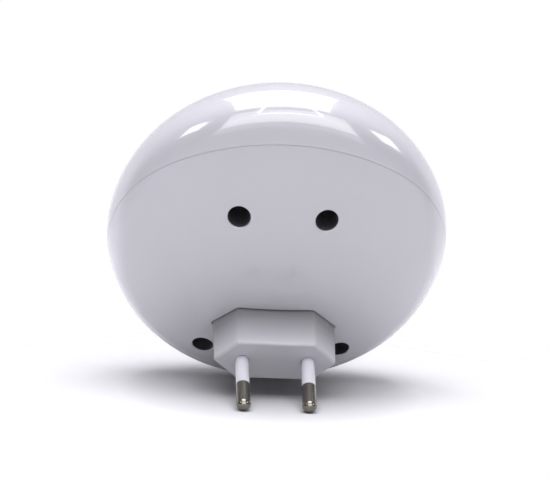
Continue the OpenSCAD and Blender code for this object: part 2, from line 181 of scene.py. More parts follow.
def mesh_object(name, points, faces):
    """A smooth-shaded object from points in millimetres."""
    mesh = bpy.data.meshes.new(name)
    mesh.from_pydata([Vector(p) * MM for p in points], [], faces)
    bm = bmesh.new()
    bm.from_mesh(mesh)
    bmesh.ops.remove_doubles(bm, verts=bm.verts, dist=1e-7)
    bmesh.ops.recalc_face_normals(bm, faces=bm.faces)
    bm.to_mesh(mesh)
    bm.free()
    mesh.shade_smooth()
    made = bpy.data.objects.new(name, mesh)
    bpy.context.scene.collection.objects.link(made)
    return made


def ring_skin(name, rings, start=None, end=None):
    """A closed skin through rings of equal length. A start or end point closes it as a fan,
    and a missing one closes it with a flat face."""
    count = len(rings[0])
    points = [p for ring in rings for p in ring]
    faces = []
    for k in range(len(rings) - 1):
        for i in range(count):
            a, b = k * count + i, k * count + (i + 1) % count
            faces.append((a, b, b + count, a + count))
    for tip, base in ((start, 0), (end, (len(rings) - 1) * count)):
        if tip is None:
            faces.append(tuple(range(base, base + count)))
        else:
            points.append(tip)
            faces += [(base + i, base + (i + 1) % count, len(points) - 1) for i in range(count)]
    return mesh_object(name, points, faces)


def combine(target, others, operation):
    """Joins solids to target or cuts them out of it, and removes them."""
    for other in others:
        step = target.modifiers.new("solid", "BOOLEAN")
        step.operation = operation
        step.solver = "MANIFOLD"
        step.object = other
    bpy.context.view_layer.update()
    graph = bpy.context.evaluated_depsgraph_get()
    mesh = bpy.data.meshes.new_from_object(target.evaluated_get(graph))
    target.modifiers.clear()
    old = target.data
    target.data = mesh
    bpy.data.meshes.remove(old)
    for other in others:
        bpy.data.objects.remove(other)
    return target


def circle(x, z, radius, y_at, count=64):
    """A ring round a line along Y. y_at gives y at a point (x, z)."""
    ring = []
    for i in range(count):
        a = 2 * math.pi * i / count
        px, pz = x + radius * math.cos(a), z + radius * math.sin(a)
        ring.append((px, y_at(px, pz), pz))
    return ring


def level(y):
    """A flat height for circle()."""
    return lambda x, z: y


def on(dome, inset=0.0):
    """A height for circle() that follows a dome."""
    return lambda x, z: surface(dome, x, z, inset)


def post(dome, x, z, radius, end, inset=WALL / 2):
    """A round post that grows out of the middle of a wall to the flat height end."""
    return ring_skin("post", [circle(x, z, radius, on(dome, inset)),
                              circle(x, z, radius, level(end))],
                     start=(x, surface(dome, x, z, inset), z))


def drill(x, z, radius, start, end):
    """A plain round cutter."""
    return ring_skin("drill", [circle(x, z, radius, level(start), 48),
                               circle(x, z, radius, level(end), 48)])


def mouth(dome, x, z, radius, end, soft, count=64):
    """A round cutter whose mouth is softened where it meets a dome."""
    out = dome.side
    rings = [circle(x, z, radius + soft * 1.6, lambda a, b: surface(dome, a, b) + out * 2, count)]
    for k in range(6):
        a = math.radians(10 + 16 * k)
        grow, sink = soft * (1 - math.sin(a)), soft * (1 - math.cos(a))
        rings.append(circle(x, z, radius + grow,
                            lambda p, q, s=sink: surface(dome, p, q) - out * s, count))
    rings.append(circle(x, z, radius, level(end), count))
    return ring_skin("mouth", rings,
                     start=(x, surface(dome, x, z) + out * 2, z), end=(x, end, z))


def plug_outline(width, height, grow=0.0, corner=1.2, steps=5):
    """The plug's six-sided outline with rounded corners, as (x, z) points."""
    w, h = width / 2 + grow * math.sqrt(2), height / 2 + grow
    flat = w - h
    tips = [(w, 0), (flat, h), (-flat, h), (-w, 0), (-flat, -h), (flat, -h)]
    outline = []
    for i, tip in enumerate(tips):
        tip = Vector(tip)
        before = (Vector(tips[i - 1]) - tip).normalized()
        after = (Vector(tips[(i + 1) % 6]) - tip).normalized()
        half = before.angle(after) / 2
        centre = tip + (before + after).normalized() * (corner / math.sin(half))
        first = tip + before * (corner / math.tan(half)) - centre
        sweep = math.pi - 2 * half
        for k in range(steps + 1):
            turned = Matrix.Rotation(sweep * k / steps, 2) @ first
            outline.append(tuple(centre + turned))
    return outline


def lift(outline, y_at):
    """An (x, z) outline placed at the heights that y_at gives."""
    return [(x, y_at(x, z), z) for x, z in outline]


def smooth_edges(made, angle=32):
    """Keeps edges sharper than the angle crisp in the shading."""
    made.data.set_sharp_from_angle(angle=math.radians(angle))
    return made


def true_normals(made, normal_at, angle=32):
    """Shades an object by the exact normals of the curved surfaces that it was cut from."""
    smooth_edges(made, angle)
    mesh = made.data
    exact = [normal_at(v.co / MM) for v in mesh.vertices]
    loops = [Vector(n.vector) for n in mesh.corner_normals]
    for face in mesh.polygons:
        found = [exact[v] for v in face.vertices]
        if all(n is not None and n.dot(face.normal) > 0.97 for n in found):
            for loop, normal in zip(face.loop_indices, found):
                loops[loop] = normal
    mesh.normals_split_custom_set([tuple(n) for n in loops])
    return made


def case_normal(inset=0.0, tolerance=0.012):
    """A test for true_normals(): the case's outward normal at a point on its outer surface."""
    def at(p):
        r = math.hypot(p.x, p.z - CASE_Z)
        dome = REAR if p.y > EQUATOR_Y else FRONT
        ray = Vector((p.x, p.y - EQUATOR_Y + dome.side * dome.drop, p.z - CASE_Z))
        if math.atan2(r, abs(ray.y)) > dome.turn and r > 1:
            k = (CASE_R - dome.rim) / r
            ray = Vector((p.x * (1 - k), p.y - EQUATOR_Y, (p.z - CASE_Z) * (1 - k)))
            size = dome.rim - inset
        else:
            size = dome.crown - inset
        return ray.normalized() if abs(ray.length - size) < tolerance else None
    return at


# ------------------------------------------------------------------ shells

TURNS = 288


def shell_rings(dome):
    """The rings of one shell: from its outer apex to the seam, over the edge, and back inside."""
    side = dome.side
    half_gap = side * SEAM_GAP / 2
    turns = [2 * math.pi * i / TURNS for i in range(TURNS)]
    edge = [seam_angle(dome, t, 0, half_gap) for t in turns]
    rings = []
    spans = [0.02 + 0.98 * (k / APEX_RINGS) for k in range(APEX_RINGS + 1)]
    starts = [last - SEAM_SOFT / (dome.rim if last > dome.turn else dome.crown) for last in edge]
    for share in spans:
        rings.append([case_point(dome, share * a, t, 0) for t, a in zip(turns, starts)])
    corner = [case_point(dome, a, t, 0) for t, a in zip(turns, edge)]
    inner = [case_point(dome, seam_angle(dome, t, SEAM_SOFT, half_gap), t, SEAM_SOFT)
             for t in turns]
    for k in (0.25, 0.5, 0.75, 1.0):
        rings.append([a * (1 - k) ** 2 + b * 2 * k * (1 - k) + c * k * k
                      for a, b, c in zip(rings[APEX_RINGS], corner, inner)])

    def plane_ring(inset, shift):
        return [case_point(dome, seam_angle(dome, t, inset, shift), t, inset) for t in turns]

    if dome is REAR:
        rings.append(plane_ring(WALL + LIP_GAP, half_gap))
        rings.append(plane_ring(WALL + LIP_GAP, -LIP_LEN + 0.3))
        rings.append(plane_ring(WALL + LIP_GAP + 0.25, -LIP_LEN))
        rings.append(plane_ring(WALL + LIP_IN, -LIP_LEN))
        rings.append(plane_ring(WALL + LIP_IN, LIP_LEN))
        rings.append(plane_ring(WALL, LIP_LEN + 0.6))
        last_shift = LIP_LEN + 0.6
    else:
        rings.append(plane_ring(WALL, half_gap))
        last_shift = half_gap
    back = [seam_angle(dome, t, WALL, last_shift) for t in turns]
    for k in range(1, BACK_RINGS):
        share = 1 - k / BACK_RINGS
        rings.append([case_point(dome, share * a, t, WALL) for t, a in zip(turns, back)])
    return rings


def shell(name, dome):
    """A closed shell on one side of the seam."""
    apex = (0, EQUATOR_Y + dome.side * dome.depth, CASE_Z)
    inner = (0, EQUATOR_Y + dome.side * (dome.depth - WALL), CASE_Z)
    return ring_skin(name, shell_rings(dome), start=apex, end=inner)


def in_well(point):
    """True for a point in millimetres on the wall or floor of a screw well, below its mouth."""
    if point.y > surface(REAR, point.x, point.z) - 0.5:
        return False
    return any(math.hypot(point.x - x, point.z - z) < WELL_R + 0.05 for x, z in WELLS)


def rear_cover():
    """The rear cover: screw wells, plug collar and screw bosses inside, holes outside."""
    made = shell("rear_cover_moulding", REAR)
    adds = [post(REAR, x, z, WELL_R + 1.4, WELL_FLOOR - 1.5) for x, z in WELLS]
    adds += [post(REAR, s * EAR_X, 0, 2.8, COLLAR_Y) for s in (-1, 1)]
    base_w, base_h = PLUG_W + PLUG_DRAFT, PLUG_H + PLUG_DRAFT
    adds.append(ring_skin("collar", [
        lift(plug_outline(base_w, base_h, 1.8), on(REAR, WALL / 2)),
        lift(plug_outline(base_w, base_h, 1.8), level(COLLAR_Y))],
        start=(0, surface(REAR, 0, 0, WALL / 2), 0)))
    combine(made, adds, "UNION")
    cuts = [mouth(REAR, x, z, WELL_R, WELL_FLOOR, 0.3) for x, z in WELLS]
    cuts += [drill(x, z, 1.7, WELL_FLOOR + 2, WELL_FLOOR - 4) for x, z in WELLS]
    cuts += [drill(s * EAR_X, 0, 1.1, COLLAR_Y + 2.6, COLLAR_Y - 2) for s in (-1, 1)]
    hole = [lift(plug_outline(base_w, base_h, 0.45), lambda x, z: surface(REAR, x, z) + 2)]
    for k in range(5):
        a = math.radians(10 + 20 * k)
        grow, sink = 0.3 * (1 - math.sin(a)), 0.3 * (1 - math.cos(a))
        hole.append(lift(plug_outline(base_w, base_h, 0.12 + grow),
                         lambda x, z, s=sink: surface(REAR, x, z) - s))
    hole.append(lift(plug_outline(base_w, base_h, 0.12), level(COLLAR_Y - 3)))
    cuts.append(ring_skin("hole", hole, start=(0, surface(REAR, 0, 0) + 2, 0)))
    combine(made, cuts, "DIFFERENCE")
    true_normals(made, case_normal())
    return made


def front_shell():
    """The front shell: posts and seats inside, openings for the grille, lens and button."""
    made = shell("front_shell_moulding", FRONT)
    adds = [post(FRONT, x, z, 3.5, WELL_FLOOR - WALL) for x, z in WELLS]
    adds += [post(FRONT, x, z, 3.0, board_low[1] - 0.05) for x, z in BOARD_SPOTS]
    adds.append(post(FRONT, 0, CASE_Z, GRILLE_R + 0.8, SEAT_Y))
    adds += [post(FRONT, s * SPEAKER_X, CASE_Z, 2.6, SEAT_Y - 1) for s in (-1, 1)]
    adds.append(post(FRONT, 0, BUTTON_Z, BUTTON_R + 2.3, COLLAR_END))
    combine(made, adds, "UNION")
    cuts = [drill(x, z, 1.5, WELL_FLOOR, WELL_FLOOR - 16) for x, z in WELLS]
    cuts += [drill(x, z, 1.1, board_low[1] + 1, board_low[1] - 6) for x, z in BOARD_SPOTS]
    cuts += [drill(s * SPEAKER_X, CASE_Z, 1.1, SEAT_Y + 2, SEAT_Y - 1) for s in (-1, 1)]
    cuts.append(drill(0, CASE_Z, GRILLE_R - 2.5, SEAT_Y + 4, front_low[1] - 4))
    cuts.append(mouth(FRONT, 0, BUTTON_Z, BUTTON_R + 0.15, COLLAR_END + 2, 0.35))
    cuts.append(mouth(FRONT, 0, LENS_Z, LENS_R + 0.08, -46, 0.25))
    recess = [circle(0, CASE_Z, GRILLE_R + 0.8, lambda x, z: surface(FRONT, x, z) - 2, ROUND)]
    for k in range(6):
        a = math.radians(10 + 16 * k)
        grow, sink = 0.3 * (1 - math.sin(a)), 0.3 * (1 - math.cos(a))
        recess.append(circle(0, CASE_Z, GRILLE_R + 0.15 + grow,
                             lambda x, z, s=sink: surface(FRONT, x, z) + s, ROUND))
    recess += [circle(0, CASE_Z, GRILLE_R * k + 0.15, on(FRONT, 1.0), ROUND)
               for k in (1.0, 0.93, 0.86, 0.8)]
    cuts.append(ring_skin("recess", recess, start=(0, front_low[1] - 3, CASE_Z),
                          end=(0, surface(FRONT, 0, CASE_Z, 1.0), CASE_Z)))
    combine(made, cuts, "DIFFERENCE")
    true_normals(made, case_normal())
    return made


# ------------------------------------------------------------------ plug and pins

def pin_point(side, radius, along, angle):
    """A point round a pin's leaning axis, along being the distance from the plug's end face."""
    axis = Vector((-side * math.sin(PIN_LEAN), math.cos(PIN_LEAN), 0))
    across = Vector((axis.y, -axis.x, 0))
    out = across * math.cos(angle) + Vector((0, 0, 1)) * math.sin(angle)
    return Vector((side * PIN_PITCH / 2, 0, 0)) + axis * along + out * radius


def turned(name, side, profile, count=96):
    """A closed skin of (radius, along) pairs turned round a pin's axis."""
    rings = [[pin_point(side, r, a, 2 * math.pi * i / count) for i in range(count)]
             for r, a in profile]
    first, last = profile[0][1], profile[-1][1]
    return ring_skin(name, rings, start=pin_point(side, 0, first, 0),
                     end=pin_point(side, 0, last, 0))


def arc(centre_r, centre_a, radius, start, end, steps=10):
    """(radius, along) pairs on an arc, with angles in degrees from the axis."""
    angles = [math.radians(start + (end - start) * k / steps) for k in range(steps + 1)]
    return [(centre_r + radius * math.sin(a), centre_a + radius * math.cos(a)) for a in angles]


def plug_body():
    """The plug: rounded end face, drafted six-sided body, inner flange with two screw ears."""
    rings = []
    for k in range(9):
        a = math.pi / 2 * k / 8
        rings.append(lift(plug_outline(PLUG_W, PLUG_H, math.sin(a) - 1), level(math.cos(a) - 1)))
    for k in range(1, 8):
        share = k / 7
        rings.append(lift(plug_outline(PLUG_W + PLUG_DRAFT * share, PLUG_H + PLUG_DRAFT * share),
                          level(-1 - 14 * share)))
    base = PLUG_W + PLUG_DRAFT, PLUG_H + PLUG_DRAFT
    rings.append(lift(plug_outline(*base), level(COLLAR_Y)))
    rings.append(lift(plug_outline(*base, 1.8), level(COLLAR_Y)))
    rings.append(lift(plug_outline(*base, 1.8), level(COLLAR_Y - 2)))
    made = ring_skin("plug_moulding", rings, start=(0, 0, 0), end=(0, COLLAR_Y - 2, 0))
    ears = [ring_skin("ear", [circle(s * EAR_X, 0, 3.2, level(COLLAR_Y - 0.001)),
                              circle(s * EAR_X, 0, 3.2, level(COLLAR_Y - 1.999))])
            for s in (-1, 1)]
    combine(made, ears, "UNION")
    cuts = []
    inner = CORE_R + BORE_GAP
    for s in (-1, 1):
        bore = SLEEVE_R + BORE_GAP
        cuts.append(turned("bore", s, [(inner, -TAIL_Y), (inner, -SLEEVE_ROOT),
                                       (bore, -SLEEVE_ROOT), (bore, -0.35), (bore + 0.1, -0.3),
                                       (bore + 0.1, -0.08), (bore + 0.18, 0.0), (bore + 0.3, 1)]))
        cuts.append(drill(s * EAR_X, 0, 1.2, COLLAR_Y + 1, COLLAR_Y - 4))
    combine(made, cuts, "DIFFERENCE")
    return smooth_edges(made, 24)


def pin(side, name):
    """A pin: thin core inside its sleeve, and a bare end with a rounded tip."""
    tip = arc(PIN_R - TIP_R, PIN_LEN - TIP_R, TIP_R, 90, 8, 14)
    profile = [(CORE_R - 0.2, -TAIL_Y), (CORE_R, -TAIL_Y + 0.2), (CORE_R, SLEEVE_LEN + 0.02),
               (PIN_R - 0.12, SLEEVE_LEN + 0.02), (PIN_R, SLEEVE_LEN + 0.14),
               (PIN_R, PIN_LEN - PIN_R)] + tip
    return smooth_edges(turned(name, side, profile), 30)


def sleeve(side, name):
    """An insulating sleeve with soft ends, open for the pin's core."""
    inner = CORE_R + BORE_GAP
    made = turned(name, side, [(SLEEVE_R - 0.1, -SLEEVE_ROOT), (SLEEVE_R, -SLEEVE_ROOT + 0.1)]
                  + [(SLEEVE_R, SLEEVE_LEN * k / 4) for k in range(4)]
                  + arc(SLEEVE_R - 0.25, SLEEVE_LEN - 0.25, 0.25, 90, 0, 6))
    hole = turned("hole", side, [(inner, -SLEEVE_ROOT - 1), (inner, SLEEVE_LEN + 1)])
    return smooth_edges(combine(made, [hole], "DIFFERENCE"), 30)


# ------------------------------------------------------------------ front pieces

def slot_outline(ring, quarter, grow=0.0, steps=14):
    """A curved slot with round ends between two spokes of the grille, as (x, z) points."""
    middle, half = SLOT_PITCH * ring + GRILLE_SLOT / 2, GRILLE_SLOT / 2 + grow
    start = math.asin((SPOKE + GRILLE_SLOT / 2) / middle) + math.radians(45 + 90 * quarter)
    end = math.radians(135 + 90 * quarter) - math.asin((SPOKE + GRILLE_SLOT / 2) / middle)
    points = []
    for k in range(steps + 1):
        a = start + (end - start) * k / steps
        points.append(((middle + half) * math.cos(a), (middle + half) * math.sin(a)))
    for a, flip in ((end, 1), (start, -1)):
        for k in range(1, 8):
            b = math.pi * k / 8
            r = middle + flip * half * math.cos(b)
            step = half * math.sin(b) * flip
            points.append((r * math.cos(a) - step * math.sin(a),
                           r * math.sin(a) + step * math.cos(a)))
        if flip == 1:
            for k in range(steps + 1):
                c = end + (start - end) * k / steps
                points.append(((middle - half) * math.cos(c), (middle - half) * math.sin(c)))
    return [(x, z + CASE_Z) for x, z in points]


def grille():
    """The round sound grille: a thin curved plate with three rings of slots."""
    rings = [circle(0, CASE_Z, GRILLE_R * k / 12, on(FRONT, GRILLE_SUNK), ROUND) for k in range(1, 12)]
    rings.append(circle(0, CASE_Z, GRILLE_R - 0.2, on(FRONT, GRILLE_SUNK), ROUND))
    rings.append(circle(0, CASE_Z, GRILLE_R - 0.06, on(FRONT, 0.2), ROUND))
    rings.append(circle(0, CASE_Z, GRILLE_R, on(FRONT, 0.34), ROUND))
    rings.append(circle(0, CASE_Z, GRILLE_R, on(FRONT, 0.95), ROUND))
    rings += [circle(0, CASE_Z, GRILLE_R * k / 6, on(FRONT, 0.95), ROUND) for k in range(5, 0, -1)]
    made = ring_skin("sound_grille", rings, start=(0, surface(FRONT, 0, CASE_Z, GRILLE_SUNK), CASE_Z),
                     end=(0, surface(FRONT, 0, CASE_Z, 0.95), CASE_Z))
    cuts = []
    for ring in (1, 2, 3):
        for quarter in range(4):
            layers = [lift(slot_outline(ring, quarter, 0.3),
                           lambda x, z: surface(FRONT, x, z) - 1)]
            layers += [lift(slot_outline(ring, quarter, g),
                            lambda x, z, d=d: surface(FRONT, x, z, GRILLE_SUNK) + d)
                       for g, d in ((0.14, 0.0), (0.04, 0.06), (0.0, 0.18), (0.0, 2.0))]
            cuts.append(ring_skin("slot", layers))
    combine(made, cuts, "DIFFERENCE")
    return true_normals(made, case_normal(GRILLE_SUNK), 40)


def light_lens():
    """The indicator's lens: a small dome-topped plug with a flange inside the shell."""
    rings = [circle(0, LENS_Z, r, on(FRONT, -0.2), 48) for r in (0.5, 1.0, LENS_R - 0.25)]
    rings.append(circle(0, LENS_Z, LENS_R - 0.06, on(FRONT, -0.12), 48))
    rings.append(circle(0, LENS_Z, LENS_R, on(FRONT, 0.05), 48))
    rings.append(circle(0, LENS_Z, LENS_R, level(FLANGE_FRONT), 48))
    rings.append(circle(0, LENS_Z, LENS_R + 0.9, level(FLANGE_FRONT), 48))
    rings.append(circle(0, LENS_Z, LENS_R + 0.9, level(FLANGE_BACK), 48))
    made = ring_skin("light_lens", rings, start=(0, surface(FRONT, 0, LENS_Z, -0.2), LENS_Z),
                     end=(0, FLANGE_BACK, LENS_Z))
    return smooth_edges(made, 30)


def button():
    """The round mode button: domed cap, inner flange and a stem that meets the switch."""
    proud = -BUTTON_PROUD
    rings = [circle(0, BUTTON_Z, r, on(FRONT, proud)) for r in (1.2, 2.4, BUTTON_R - 0.6)]
    for k in range(1, 6):
        a = math.pi / 2 * k / 5
        grow, sink = 0.6 * (1 - math.sin(a)), 0.6 * (1 - math.cos(a))
        rings.append(circle(0, BUTTON_Z, BUTTON_R - grow, on(FRONT, proud + sink)))
    stop = COLLAR_END + 0.05
    rings.append(circle(0, BUTTON_Z, BUTTON_R, level(stop)))
    rings.append(circle(0, BUTTON_Z, BUTTON_R + 1.4, level(stop)))
    rings.append(circle(0, BUTTON_Z, BUTTON_R + 1.4, level(stop + 1.2)))
    rings.append(circle(0, BUTTON_Z, 1.6, level(stop + 1.2)))
    rings.append(circle(0, BUTTON_Z, 1.6, level(button_high[1])))
    made = ring_skin("button_cap", rings,
                     start=(0, surface(FRONT, 0, BUTTON_Z, proud), BUTTON_Z),
                     end=(0, button_high[1], BUTTON_Z))
    return smooth_edges(made, 30)


def gasket():
    """The loudspeaker's foam ring, with sides that bulge a little."""
    outer, inner = GRILLE_R, GRILLE_R - 2.5
    low, high = SEAT_Y, SEAT_Y + 1.0
    rings = []
    for r_in, y in ((outer - 0.25, low), (outer, low + 0.5), (outer - 0.25, high)):
        rings.append(circle(0, CASE_Z, r_in, level(y), 96))
    for r_in, y in ((inner + 0.25, high), (inner, low + 0.5), (inner + 0.25, low)):
        rings.append(circle(0, CASE_Z, r_in, level(y), 96))
    points = [p for ring in rings for p in ring]
    faces = []
    for k in range(6):
        for i in range(96):
            a, b = k * 96, (k + 1) % 6 * 96
            faces.append((a + i, a + (i + 1) % 96, b + (i + 1) % 96, b + i))
    return smooth_edges(mesh_object("foam_ring", points, faces), 50)


# ------------------------------------------------------------------ materials

class Finish:
    """A node material: its shader and the texture nodes that feed it."""

    def __init__(self, name, colour, roughness, metallic=0.0):
        self.material = bpy.data.materials.new(name)
        self.material.use_nodes = True
        self.tree = self.material.node_tree
        self.shader = self.tree.nodes["Principled BSDF"]
        self.colour, self.roughness = colour, roughness
        self.set("Base Color", (*colour, 1))
        self.set("Roughness", roughness)
        self.set("Metallic", metallic)
        place = self.node("ShaderNodeTexCoord")
        self.place = place.outputs["Object"]
        self.height = None

    def set(self, socket, value):
        """Sets a constant on the shader itself."""
        self.shader.inputs[socket].default_value = value

    def node(self, kind, **inputs):
        """A new node with some inputs set or linked."""
        made = self.tree.nodes.new(kind)
        for key, value in inputs.items():
            self.feed(made.inputs[key.replace("_", " ")], value)
        return made

    def feed(self, socket, value):
        """Links a node's output to a socket, or sets the socket to a number."""
        if isinstance(value, bpy.types.NodeSocket):
            self.tree.links.new(value, socket)
        else:
            socket.default_value = value

    def noise(self, size_mm, detail=3.0, stretch=None):
        """Fractal noise whose features are about size_mm wide, stretched along an axis if told."""
        place = self.place
        if stretch:
            place = self.node("ShaderNodeMapping", Vector=place, Scale=stretch).outputs[0]
        made = self.node("ShaderNodeTexNoise", Vector=place, Scale=1000 / size_mm, Detail=detail)
        return made.outputs["Fac"]

    def span(self, source, low, high, from_low=0.35, from_high=0.65):
        """A value that runs from low to high as the source runs over its middle range."""
        made = self.node("ShaderNodeMapRange")
        self.feed(made.inputs["Value"], source)
        for key, value in (("From Min", from_low), ("From Max", from_high),
                           ("To Min", low), ("To Max", high)):
            made.inputs[key].default_value = value
        return made.outputs["Result"]

    def math(self, operation, a, b=0.0):
        """One arithmetic step."""
        made = self.node("ShaderNodeMath")
        made.operation = operation
        self.feed(made.inputs[0], a)
        self.feed(made.inputs[1], b)
        return made.outputs[0]

    def axis(self, name):
        """One object coordinate in metres."""
        return self.node("ShaderNodeSeparateXYZ", Vector=self.place).outputs[name]

    def mix(self, share, first, second):
        """A colour between two others."""
        made = self.node("ShaderNodeMix")
        made.data_type = "RGBA"
        self.feed(made.inputs["Factor"], share)
        for socket, value in zip(made.inputs[6:8], (first, second)):
            self.feed(socket, value if isinstance(value, bpy.types.NodeSocket) else (*value, 1))
        return made.outputs[2]

    def paint(self, colour):
        """Feeds the base colour."""
        self.feed(self.shader.inputs["Base Color"], colour)

    def vary(self, size_mm, colour_share, rough_share):
        """Gives the colour and the roughness a soft, cloudy variation."""
        cloud = self.noise(size_mm)
        darker = tuple(c * (1 - colour_share) for c in self.colour)
        self.paint(self.mix(self.span(cloud, 0.0, 1.0), self.colour, darker))
        return self.roughen(size_mm / 5, rough_share)

    def roughen(self, size_mm, rough_share):
        """Gives the roughness alone a fine variation."""
        fine = self.noise(size_mm, 4.0)
        self.feed(self.shader.inputs["Roughness"],
                  self.span(fine, self.roughness * (1 - rough_share),
                            self.roughness * (1 + rough_share)))
        return self

    def relief(self, height, depth_mm, strength=1.0):
        """Adds a bump of that depth to the ones before it."""
        made = self.node("ShaderNodeBump")
        self.feed(made.inputs["Height"], height)
        made.inputs["Distance"].default_value = depth_mm * MM
        made.inputs["Strength"].default_value = strength
        if self.height:
            self.feed(made.inputs["Normal"], self.height)
        self.height = made.outputs["Normal"]
        self.feed(self.shader.inputs["Normal"], self.height)
        return self


def glossy_case():
    """Polished white plastic with a faint moulding ripple."""
    made = Finish("glossy_case", (0.70, 0.695, 0.735), 0.11)
    made.vary(22, 0.015, 0.22)
    made.set("IOR", 1.58)
    made.set("Coat Weight", 1.0)
    made.set("Coat Roughness", 0.03)
    return made.relief(made.noise(9, 1.0), 0.012, 0.5).relief(made.noise(0.35), 0.004, 0.4)


def painted_well_shade():
    """The screw wells' walls, much darker than the case: painted shade, so that the wells look nearly
    black.
    """
    made = Finish("painted_well_shade", (0.11, 0.11, 0.12), 0.5)
    made.vary(3, 0.2, 0.2)
    return made.relief(made.noise(0.4, 4.0), 0.02, 0.5)


def satin_plug():
    """The plug's satin white plastic with a fine grain. It darkens towards its root, which
    stands in for the case's shade."""
    made = Finish("satin_plug", (0.57, 0.565, 0.595), 0.42)
    made.roughen(1.8, 0.15)
    out = made.span(made.axis("Y"), 0.0, 1.0, -0.012, -0.001)
    made.paint(made.mix(out, (0.3, 0.3, 0.315), made.colour))
    return made.relief(made.noise(0.22, 4.0), 0.02, 0.55)


def satin_plate():
    """Satin white plastic of the grille, the button and the switch's key."""
    made = Finish("satin_plate", (0.76, 0.755, 0.78), 0.36)
    made.vary(7, 0.02, 0.15)
    return made.relief(made.noise(0.3, 3.0), 0.015, 0.5)


def sleeve_plastic():
    """The smooth plastic of the pins' sleeves."""
    made = Finish("sleeve_plastic", (0.7, 0.69, 0.74), 0.24)
    made.vary(4, 0.02, 0.06)
    return made.relief(made.noise(1.2, 2.0), 0.002, 0.2)


def nickel_pin():
    """Nickel plate with turning marks and light scuffs along the pins."""
    made = Finish("nickel_pin", (0.2, 0.19, 0.165), 0.14, 1.0)
    rub = made.noise(0.9, 2.0, (1.0, 0.1, 1.0))
    made.paint(made.mix(made.span(rub, 0.0, 1.0), (0.215, 0.205, 0.18), (0.18, 0.17, 0.145)))
    made.feed(made.shader.inputs["Roughness"], made.span(made.noise(0.8, 2.0), 0.11, 0.17))
    rings = made.math("SINE", made.math("MULTIPLY", made.axis("Y"), 42000))
    return made.relief(rings, 0.0003, 0.2).relief(rub, 0.001, 0.15)


def screw_steel():
    """Zinc-plated steel with a brushed look and darker hollows."""
    made = Finish("screw_steel", (0.52, 0.53, 0.55), 0.34, 1.0)
    made.vary(1.4, 0.25, 0.3)
    return made.relief(made.noise(0.25, 4.0), 0.01, 0.5)


def clear_lens():
    """Clear, slightly milky plastic of the indicator and its lens."""
    made = Finish("clear_lens", (0.88, 0.92, 1.0), 0.12)
    made.vary(0.9, 0.06, 0.3)
    made.set("Transmission Weight", 0.75)
    made.set("IOR", 1.49)
    return made.relief(made.noise(0.5, 2.0), 0.006, 0.4)


def board_laminate():
    """Green board: copper tracks under the mask, round pads and a woven grain."""
    made = Finish("board_laminate", (0.03, 0.16, 0.07), 0.35)
    cells = made.node("ShaderNodeTexVoronoi", Vector=made.place, Scale=260.0)
    cells.distance = "MANHATTAN"
    cells.feature = "DISTANCE_TO_EDGE"
    tracks = made.span(cells.outputs["Distance"], 0.0, 1.0, 0.05, 0.08)
    green = made.mix(tracks, (0.02, 0.10, 0.05), (0.05, 0.24, 0.10))
    spots = made.node("ShaderNodeTexVoronoi", Vector=made.place, Scale=230.0)
    pads = made.span(spots.outputs["Distance"], 1.0, 0.0, 0.12, 0.15)
    made.paint(made.mix(pads, green, (0.72, 0.70, 0.66)))
    return made.relief(tracks, 0.03, 0.6).relief(made.noise(0.4), 0.01, 0.4)


def dark_moulding():
    """Black moulded plastic of chips, the switch and the loudspeaker's basket."""
    made = Finish("dark_moulding", (0.022, 0.022, 0.025), 0.48)
    made.vary(2.5, 0.25, 0.15)
    return made.relief(made.noise(0.18, 4.0), 0.02, 0.6)


def foam():
    """Open-cell black foam."""
    made = Finish("foam", (0.035, 0.035, 0.04), 0.95)
    cells = made.node("ShaderNodeTexVoronoi", Vector=made.place, Scale=2600.0)
    distance = cells.outputs["Distance"]
    made.paint(made.mix(made.span(distance, 0.0, 1.0, 0.1, 0.6), (0.01, 0.01, 0.012),
                        (0.07, 0.07, 0.075)))
    return made.relief(distance, 0.12, 0.8)


def sheet_metal(name, colour, size_mm):
    """Thin sheet metal, rolled and a little stained."""
    made = Finish(name, colour, 0.3, 1.0)
    made.vary(size_mm, 0.2, 0.3)
    return made.relief(made.noise(0.3, 3.0, (1.0, 1.0, 0.1)), 0.008, 0.4)


def dipped_coat(name, colour):
    """A dipped or moulded part's coat, slightly lumpy and glossy."""
    made = Finish(name, colour, 0.28)
    made.vary(2.2, 0.18, 0.25)
    return made.relief(made.noise(1.6, 2.0), 0.05, 0.5)


def banded_coat(name, colour):
    """A resistor's beige coat with colour bands, placed from each body's centre along X."""
    half_pitch = 8 * MM
    made = Finish(name, colour, 0.4)
    made.vary(1.5, 0.12, 0.2)
    base = made.shader.inputs["Base Color"].links[0].from_socket
    place = made.math("SUBTRACT", made.math("FLOORED_MODULO",
                      made.math("ADD", made.axis("X"), half_pitch), 2 * half_pitch), half_pitch)
    bands = ((-1.8, (0.25, 0.08, 0.03)), (-0.9, (0.02, 0.02, 0.02)),
             (0.0, (0.55, 0.05, 0.03)), (1.8, (0.55, 0.42, 0.12)))
    for centre, paint in bands:
        off = made.math("ABSOLUTE", made.math("SUBTRACT", place, centre * MM))
        base = made.mix(made.math("LESS_THAN", off, 0.25 * MM), base, paint)
    made.paint(base)
    return made.relief(made.noise(0.5, 3.0), 0.02, 0.5)


def enamel_wire():
    """Enamelled copper wound side by side along the core."""
    made = Finish("enamel_wire", (0.55, 0.22, 0.08), 0.25, 1.0)
    turns = made.math("ABSOLUTE", made.math("SINE", made.math("MULTIPLY", made.axis("Y"), 9000)))
    made.paint(made.mix(turns, (0.16, 0.05, 0.02), (0.72, 0.34, 0.14)))
    made.feed(made.shader.inputs["Roughness"], made.span(made.noise(0.6), 0.2, 0.35))
    return made.relief(turns, 0.12, 0.8)


